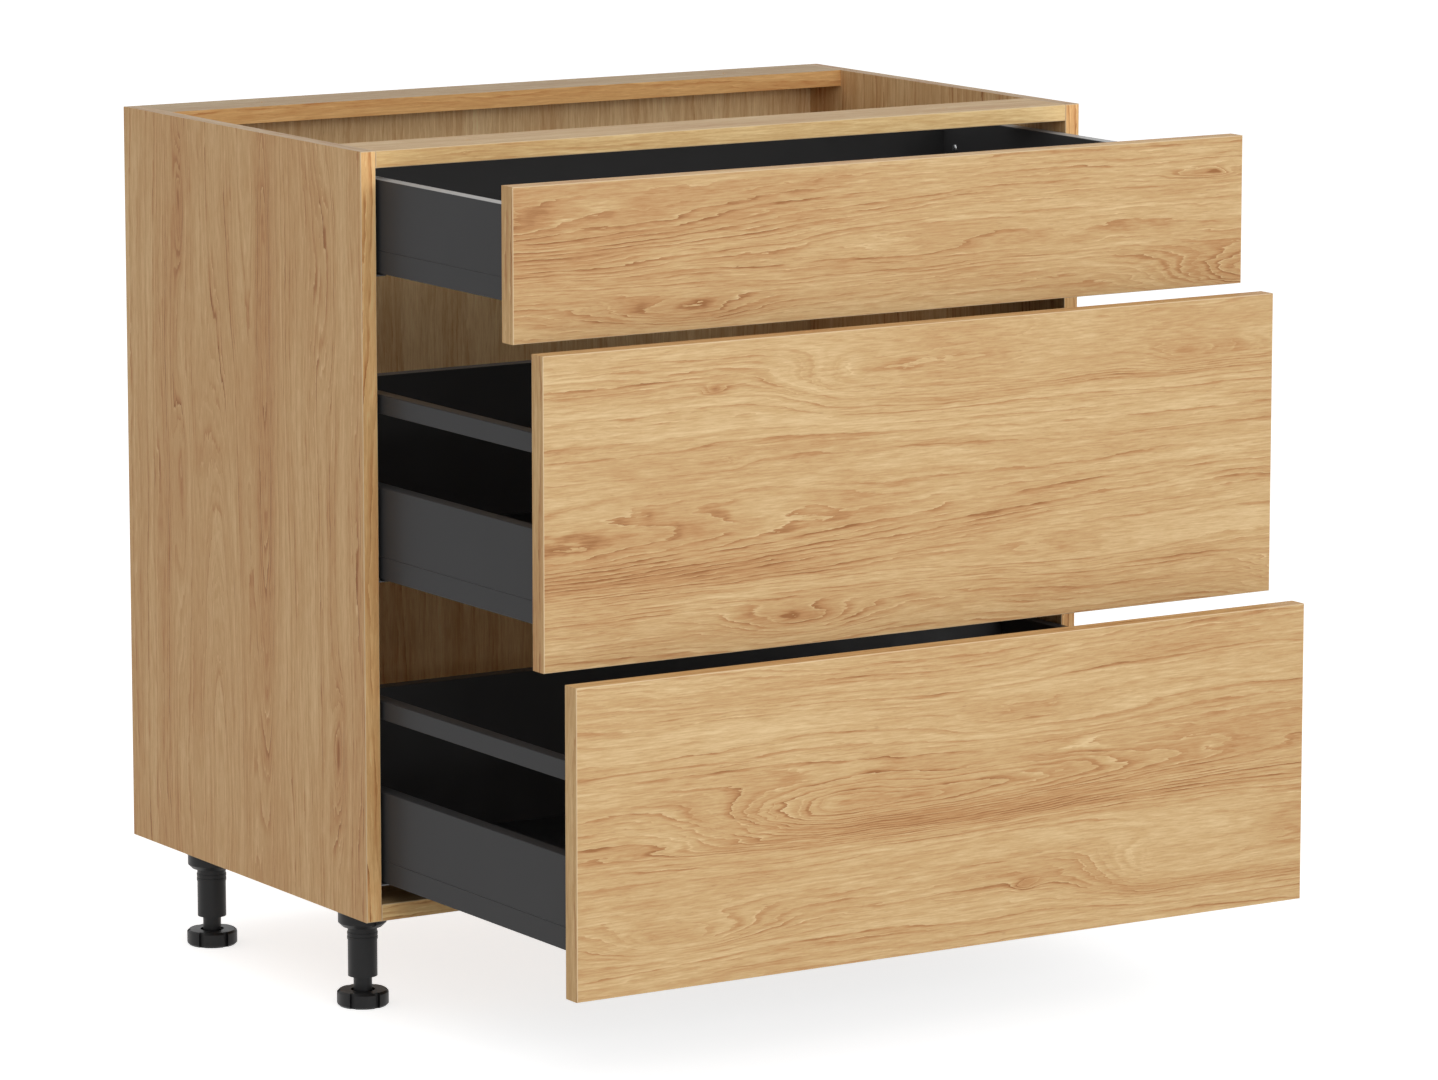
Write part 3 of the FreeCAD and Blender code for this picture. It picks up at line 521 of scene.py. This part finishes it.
plainSkin = {"bump": 0.5, "metallic": 0.0, "shine": 0.5}
powderCoat = {
    **plainSkin, "smooth": 0.3, "rough": 0.4,
    "grain": 1400.0, "mottle": 9.0, "relief": 0.00003, "shine": 0.06,
}
zincPlate = {**plainSkin, "grain": 600.0, "mottle": 60.0, "relief": 0.00002}
skins = {
    "drawerMetal": {**powderCoat, "base": paint(64, 64, 65), "tint": paint(69, 69, 70)},
    # the upper drawer's sides: the same powder coat a shade lighter, with a painted highlight on the rim
    # that looks up
    "rimHighlightMetal": {**powderCoat, "base": paint(66, 66, 67), "tint": paint(71, 71, 72),
                    "rimHighlight": paint(176, 176, 175), "rimHighlightRamp": (0.8, 0.95)},
    "darkBoard": {**plainSkin, "base": paint(33, 33, 34), "tint": paint(38, 38, 39),
                  "smooth": 0.5, "rough": 0.62, "grain": 700.0, "mottle": 30.0, "relief": 0.00008},
    "legPlastic": {**plainSkin, "base": paint(24, 24, 25), "tint": paint(29, 29, 30),
                   "smooth": 0.36, "rough": 0.46, "grain": 1100.0, "mottle": 40.0,
                   "relief": 0.00005, "shine": 0.28},
    "zincSteel": {**zincPlate, "base": paint(176, 178, 180), "tint": paint(196, 197, 198),
                  "smooth": 0.28, "rough": 0.42, "metallic": 1.0},
    # painted shade: darker and less metallic than the zinc steel, for the dim gap the runners run in
    "shadedRunnerSteel": {**zincPlate, "base": paint(112, 113, 114), "tint": paint(128, 129, 130),
                    "smooth": 0.44, "rough": 0.56, "metallic": 0.5},
    "dowelBeech": {**plainSkin, "base": paint(206, 178, 132), "tint": paint(190, 158, 112),
                   "smooth": 0.5, "rough": 0.6, "grain": 500.0, "mottle": 90.0, "relief": 0.00006},
}


def makeSkin(name):
    look = skins[name]
    material, tree, coords = startMaterial(name)
    skin = placeGroup(tree, fineSkin, {
        "Vector": coords["Object"],
        **{label: look[label.lower()] for label in ("Grain", "Mottle", "Base", "Tint", "Smooth", "Rough")},
    })
    shade = skin["Color"]
    if "rimHighlight" in look:  # painted highlight: a pale tone on what looks up, for the sky it reflects at a grazing angle
        rimHighlightMask = ramp(tree, separate(tree, coords["Normal"])["Z"], *look["rimHighlightRamp"])
        shade = mixShades(tree, rimHighlightMask, shade, look["rimHighlight"])
    finishMaterial(material, shade, skin, look)
    return material


skinMaterials = {name: makeSkin(name) for name in skins}
skinOfSlot = {
    "dark_metal": "drawerMetal", "dark_board": "darkBoard", "leg_plastic": "legPlastic",
    "zinc_steel": "zincSteel", "dowel_wood": "dowelBeech",
}
for part in frame["record"]["subparts"]:
    if part["material_slot"] in skinOfSlot:
        dress(skinMaterials[skinOfSlot[part["material_slot"]]], part["node"])
# runners are darker and duller than the screws, which paints shade on them, and the upper drawer's sides
# get a painted highlight on their top rim
for tier in tiers:
    runners = [f"runner_rail_{tier}_{side}" for side in sides]
    dress(skinMaterials["shadedRunnerSteel"], *runners, f"slide_members_{tier}", f"drawer_rails_{tier}")
dress(skinMaterials["rimHighlightMetal"], *[f"drawer_side_upper_{side}" for side in sides])
print("metal, plastic and dark boards dressed")

# Screws: pan heads with a cross recess over a threaded shank with a point, one tree for all of them
screwSizes = {
    "Head Radius": 0.00375, "Head Height": 0.0016, "Dome": 0.72,
    "Slot Length": 0.0048, "Slot Width": 0.0009, "Slot Depth": 0.0010,
    "Core Radius": 0.00145, "Ridge": 0.0005, "Pitch": 0.0018,
    "Point Length": 0.0030, "Thread Length": 0.0085, "Shank Length": 0.012, "Seed": 7,
}
screwMesh = {
    "headSides": 20, "headRings": 4,
    "shankSides": 12, "shankRings": 12,
    "threadSteps": 12, "threadSides": 3,
    "tipShare": 0.12,  # of the core's width
    "slotTurn": 0.1,
    "slotHeights": (2.0, 1.9),  # of the slot's depth, as each cutter's middle lies on the head's top
    "sharpAngle": math.radians(32),
}


def buildScrewTree():
    tree = bpy.data.node_groups.new("screwRow", "GeometryNodeTree")
    tree.interface.new_socket("Geometry", in_out="INPUT", socket_type="NodeSocketGeometry")
    for label, value in screwSizes.items():
        kind = "NodeSocketInt" if isinstance(value, int) else "NodeSocketFloat"
        tree.interface.new_socket(label, in_out="INPUT", socket_type=kind).default_value = value
    tree.interface.new_socket("Finish", in_out="INPUT", socket_type="NodeSocketMaterial")
    tree.interface.new_socket("Geometry", in_out="OUTPUT", socket_type="NodeSocketGeometry")
    given = tree.nodes.new("NodeGroupInput").outputs
    end = tree.nodes.new("NodeGroupOutput").inputs

    def reshape(shape, height, narrow):  # it stands on z = 0, and narrow gives its width along its height
        spot = separate(tree, tree.nodes.new("GeometryNodeInputPosition").outputs[0])
        rise = calc(tree, "ADD", calc(tree, "DIVIDE", spot["Z"], height), 0.5)
        width = narrow(rise)
        place = combine(tree, calc(tree, "MULTIPLY", spot["X"], width),
                        calc(tree, "MULTIPLY", spot["Y"], width), calc(tree, "MULTIPLY", rise, height))
        return makeNode(tree, "GeometryNodeSetPosition", {"Geometry": shape, "Position": place}).outputs[0]

    def dome(rise):
        fall = calc(tree, "MULTIPLY", calc(tree, "POWER", rise, 2.0), given["Dome"])
        return calc(tree, "SQRT", calc(tree, "SUBTRACT", 1.0, fall))

    def taper(rise):
        left = calc(tree, "MULTIPLY", calc(tree, "SUBTRACT", 1.0, rise), given["Shank Length"])
        width = calc(tree, "DIVIDE", left, given["Point Length"])
        return calc(tree, "MINIMUM", 1.0, calc(tree, "MAXIMUM", screwMesh["tipShare"], width))

    head = makeNode(tree, "GeometryNodeMeshCylinder", {
        "Vertices": screwMesh["headSides"], "Side Segments": screwMesh["headRings"],
        "Radius": given["Head Radius"], "Depth": given["Head Height"],
    }).outputs["Mesh"]
    head = reshape(head, given["Head Height"], dome)
    slots = (("Slot Length", "Slot Width"), ("Slot Width", "Slot Length"))
    for (long, wide), heightShare in zip(slots, screwMesh["slotHeights"]):
        height = calc(tree, "MULTIPLY", given["Slot Depth"], heightShare)
        cutter = makeNode(tree, "GeometryNodeMeshCube", {
            "Size": combine(tree, given[long], given[wide], height),
        }).outputs["Mesh"]
        cutter = makeNode(tree, "GeometryNodeTransform", {
            "Geometry": cutter, "Translation": combine(tree, 0.0, 0.0, given["Head Height"]),
            "Rotation": (0.0, 0.0, screwMesh["slotTurn"]),
        }).outputs[0]
        head = makeNode(tree, "GeometryNodeMeshBoolean", {
            "Mesh 1": head, "Mesh 2": cutter,
        }, operation="DIFFERENCE").outputs["Mesh"]
    head = makeNode(tree, "GeometryNodeTransform", {
        "Geometry": head, "Rotation": (math.pi, 0.0, 0.0),
    }).outputs[0]

    shank = makeNode(tree, "GeometryNodeMeshCylinder", {
        "Vertices": screwMesh["shankSides"], "Side Segments": screwMesh["shankRings"],
        "Radius": given["Core Radius"], "Depth": given["Shank Length"],
    }).outputs["Mesh"]
    shank = reshape(shank, given["Shank Length"], taper)
    spiral = makeNode(tree, "GeometryNodeCurveSpiral", {
        "Resolution": screwMesh["threadSteps"], "Height": given["Thread Length"],
        "Rotations": calc(tree, "DIVIDE", given["Thread Length"], given["Pitch"]),
        "Start Radius": given["Core Radius"], "End Radius": given["Core Radius"],
    }).outputs[0]
    ridge = makeNode(tree, "GeometryNodeCurvePrimitiveCircle", {
        "Resolution": screwMesh["threadSides"], "Radius": given["Ridge"],
    }).outputs[0]
    thread = makeNode(tree, "GeometryNodeCurveToMesh", {
        "Curve": spiral, "Profile Curve": ridge, "Fill Caps": True,
    }).outputs[0]
    threadAndPoint = calc(tree, "ADD", given["Thread Length"], given["Point Length"])
    threadStart = calc(tree, "SUBTRACT", given["Shank Length"], threadAndPoint)
    thread = makeNode(tree, "GeometryNodeTransform", {
        "Geometry": thread, "Translation": combine(tree, 0.0, 0.0, threadStart),
    }).outputs[0]

    joined = tree.nodes.new("GeometryNodeJoinGeometry")
    for part in (head, shank, thread):
        tree.links.new(part, joined.inputs[0])
    aim = makeNode(tree, "GeometryNodeInputNamedAttribute", {"Name": "aim"}, data_type="FLOAT_VECTOR")
    aimed = makeNode(tree, "FunctionNodeAlignRotationToVector", {
        "Vector": aim.outputs["Attribute"],
    }, axis="Z").outputs[0]
    angle = makeNode(tree, "FunctionNodeRandomValue", {"Max": math.pi, "Seed": given["Seed"]})
    spin = makeNode(tree, "FunctionNodeAxisAngleToRotation", {
        "Axis": (0.0, 0.0, 1.0), "Angle": angle.outputs["Value"],
    }).outputs[0]
    turned = makeNode(tree, "FunctionNodeRotateRotation", {
        0: aimed, 1: spin,
    }, rotation_space="LOCAL").outputs[0]
    screws = makeNode(tree, "GeometryNodeInstanceOnPoints", {
        "Points": given["Geometry"], "Instance": joined.outputs[0], "Rotation": turned,
    }).outputs[0]
    screws = makeNode(tree, "GeometryNodeRealizeInstances", {"Geometry": screws}).outputs[0]
    screws = makeNode(tree, "GeometryNodeSetMaterial", {
        "Geometry": screws, "Material": given["Finish"],
    }).outputs[0]
    tree.links.new(screws, end[0])
    return tree


screwFit = {
    "sameSpot": 1e-6,  # corners this near to each other are one
    "headFrom": 0.0028,  # only a head reaches further than this from a screw's axis
    "plainLength": 0.0035,  # of the shank, at least, has no thread
    "pointsInShank": 3,  # a shank is at least this many times as long as its point
}


def readIslands(work):  # the corners of each separate screw
    seen = set()
    for start in work.verts:
        if start in seen:
            continue
        seen.add(start)
        island = [start]
        for vertex in island:
            for other in (edge.other_vert(vertex) for edge in vertex.link_edges):
                if other not in seen:
                    seen.add(other)
                    island.append(other)
        yield [vertex.co for vertex in island]


def readScrews(name):  # by shank length, where each screw's head bears and which way it points
    work = bmesh.new()
    work.from_mesh(nodes[name].data)
    bmesh.ops.remove_doubles(work, verts=work.verts, dist=screwFit["sameSpot"])
    found = {}
    for points in readIslands(work):
        low, high = limits(points)
        size, middle = high - low, (low + high) / 2
        # the two widths across a screw are the same, so the third one is its length
        axis = min(range(3), key=lambda a: abs(size[a - 1] - size[a - 2]))
        across = [a for a in range(3) if a != axis]
        headRim = [point[axis] for point in points
                   if math.hypot(*[point[a] - middle[a] for a in across]) > screwFit["headFrom"]]
        sign = 1 if sum(headRim) / len(headRim) < middle[axis] else -1
        aim = Vector([sign if a == axis else 0 for a in range(3)])
        bearing = middle.copy()
        bearing[axis] = (low if sign > 0 else high)[axis] + sign * screwSizes["Head Height"]
        length = round(size[axis] - screwSizes["Head Height"], 4)
        found.setdefault(length, []).append((bearing, aim))
    work.free()
    return found


def growScrews(name, length, screws):  # one mesh of the screws of one length
    mesh = bpy.data.meshes.new(name)
    mesh.from_pydata([bearing for bearing, aim in screws], [], [])
    aims = mesh.attributes.new("aim", "FLOAT_VECTOR", "POINT")
    aims.data.foreach_set("vector", [value for bearing, aim in screws for value in aim])
    spots = addToScene(name, mesh)
    modifier = spots.modifiers.new("screwRow", "NODES")
    modifier.node_group = screwTree
    sockets = {item.name: item.identifier for item in screwTree.interface.items_tree
               if item.in_out == "INPUT"}
    modifier[sockets["Shank Length"]] = length
    modifier[sockets["Thread Length"]] = min(screwSizes["Thread Length"], length - screwFit["plainLength"])
    modifier[sockets["Point Length"]] = min(screwSizes["Point Length"], length / screwFit["pointsInShank"])
    modifier[sockets["Finish"]] = skinMaterials["zincSteel"]
    grown = bpy.data.meshes.new_from_object(spots.evaluated_get(bpy.context.evaluated_depsgraph_get()))
    bpy.data.objects.remove(spots)
    bpy.data.meshes.remove(mesh)
    return grown


def makeScrews(name, node, body):
    joined = bmesh.new()
    for length, screws in readScrews(node).items():
        grown = growScrews(name, length, screws)
        joined.from_mesh(grown)
        bpy.data.meshes.remove(grown)
    bmesh.ops.delete(joined, geom=[v for v in joined.verts if not v.link_faces], context="VERTS")
    mesh = bpy.data.meshes.new(name)
    joined.to_mesh(mesh)
    joined.free()
    mesh.shade_smooth()
    mesh.set_sharp_from_angle(angle=screwMesh["sharpAngle"])
    mesh.materials.append(skinMaterials["zincSteel"])
    piece = addToScene(name, mesh)
    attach(piece, body)
    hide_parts(node)
    print(name, len(mesh.polygons), "faces")


screwTree = buildScrewTree()
makeScrews("carcassScrews", "carcass_screws", "cabinet")
for tier in tiers:
    makeScrews(f"drawerScrews_{tier}", f"drawer_screws_{tier}", f"drawer_{tier}")
print("screws made")

# Studio: a pale floor that shows white, soft lamps and the photograph's viewing angle
studio = {
    "floorHalf": 60.0,
    "floorTone": (0.78, 0.78, 0.78, 1.0),
    "floorGlow": 0.74,  # added to the lit floor for the camera, so that it shows white with its shadow
    "ambient": 0.47,
    "backdrop": 1.0,
    # place, aim, width, height, power
    "lamps": {
        "mainLamp": ((0.6, -5.1, 1.3), (-0.1, 0.0, 0.45), 2.6, 1.8, 96.0),
        "highLamp": ((-1.9, -4.6, 2.9), (0.0, 0.0, 0.4), 2.6, 2.0, 42.0),
        "topLamp": ((-0.4, 0.6, 4.2), (0.0, 0.0, 0.4), 2.4, 2.4, 14.0),
    },
}


def whiteToCamera(tree, lit, shown):  # what the camera, mirrors and glass see is shown, the rest is lit
    path = makeNode(tree, "ShaderNodeLightPath").outputs
    mirrored = calc(tree, "MAXIMUM", path["Is Glossy Ray"], path["Is Transmission Ray"])
    seen = calc(tree, "MAXIMUM", path["Is Camera Ray"], mirrored)
    return makeNode(tree, "ShaderNodeMixShader", {0: seen, 1: lit, 2: shown}).outputs[0]


half = studio["floorHalf"]
floorMesh = bpy.data.meshes.new("studioFloor")
floorCorners = [(-half, -half, 0), (half, -half, 0), (half, half, 0), (-half, half, 0)]
floorMesh.from_pydata(floorCorners, [], [(0, 1, 2, 3)])
floorPaint = bpy.data.materials.new("studioFloorPaint")
floorPaint.use_nodes = True
tree = floorPaint.node_tree
tree.nodes.remove(tree.nodes["Principled BSDF"])
lit = makeNode(tree, "ShaderNodeBsdfDiffuse", {"Color": studio["floorTone"]}).outputs[0]
glow = makeNode(tree, "ShaderNodeEmission", {"Color": white, "Strength": studio["floorGlow"]}).outputs[0]
shown = makeNode(tree, "ShaderNodeAddShader", {0: lit, 1: glow}).outputs[0]
tree.links.new(whiteToCamera(tree, lit, shown), tree.nodes["Material Output"].inputs["Surface"])
floorMesh.materials.append(floorPaint)
floor = addToScene("studioFloor", floorMesh)

world = bpy.data.worlds.new("studioAir")
world.use_nodes = True
bpy.context.scene.world = world
tree = world.node_tree
lit = tree.nodes["Background"]
fillInputs(tree, lit, {"Color": white, "Strength": studio["ambient"]})
shown = makeNode(tree, "ShaderNodeBackground", {"Color": white, "Strength": studio["backdrop"]}).outputs[0]
tree.links.new(whiteToCamera(tree, lit.outputs[0], shown), tree.nodes["World Output"].inputs["Surface"])

for name, (place, aim, width, height, power) in studio["lamps"].items():
    light = bpy.data.lights.new(name, "AREA")
    light.shape = "RECTANGLE"
    light.size, light.size_y, light.energy = width, height, power
    lamp = addToScene(name, light)
    lamp.location = place
    lamp.rotation_euler = (Vector(aim) - Vector(place)).to_track_quat("-Z", "Y").to_euler()

viewpoint = {
    "place": (-3.4141, -5.4583, 1.5072), "turn": 0.5610, "tilt": 0.1675,
    "focal": 170.68, "film": 36.0, "farthest": 300.0,
}
photoCamera = bpy.data.cameras.new("photoCamera")
photoCamera.sensor_width = viewpoint["film"]
photoCamera.lens = viewpoint["focal"]
photoCamera.clip_end = viewpoint["farthest"]
camera = addToScene("photoCamera", photoCamera)
camera.location = viewpoint["place"]
camera.rotation_euler = (math.pi / 2 - viewpoint["tilt"], 0.0, -viewpoint["turn"])
bpy.context.scene.camera = camera
bpy.context.scene.view_settings.view_transform = "Standard"
print("studio ready")
